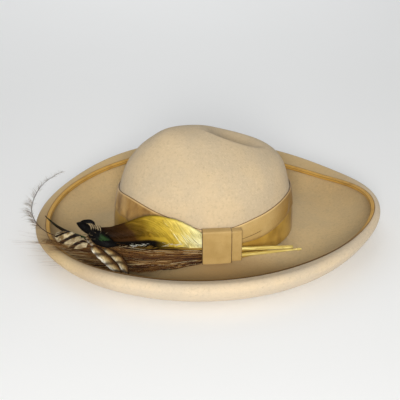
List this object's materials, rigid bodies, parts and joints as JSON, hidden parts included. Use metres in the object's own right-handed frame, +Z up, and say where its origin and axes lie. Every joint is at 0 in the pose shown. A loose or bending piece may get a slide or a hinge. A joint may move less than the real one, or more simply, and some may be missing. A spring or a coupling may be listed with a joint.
{
  "type": "wide-brim hat",
  "caption": "Wide-brim felt hat with a dented round crown, rolled bound brim, lapped satin band and a spray of feathers under a ribbon keeper.",
  "frame": {"origin": "on the surface the hat lies on, under the middle of its outline", "axes": "+X towards the front of the head, -Y towards the side with the feathers, +Z up"},
  "size_m": [0.4148, 0.3532, 0.137],
  "materials": {
    "felt": "matt hair felt",
    "binding": "ribbed ribbon with a low sheen",
    "satin": "satin",
    "gold_plume": "glossy feather, gold to dark brown",
    "bristle": "dull brown strands",
    "black_plume": "dark feather with a green sheen",
    "barred_plume": "cream feather with dark bars"
  },
  "bodies": {
    "root": {"crown": "felt", "brim": "felt", "brim_binding": "binding", "band": "satin", "band_keeper": "satin", "gold_feather": "gold_plume", "bristle_bunch": "bristle", "black_feather": "black_plume", "barred_feather_1": "barred_plume", "barred_feather_2": "barred_plume", "barred_feather_3": "barred_plume", "spike_feather": "black_plume", "curled_wisp": "bristle"}
  },
  "joints": []
}
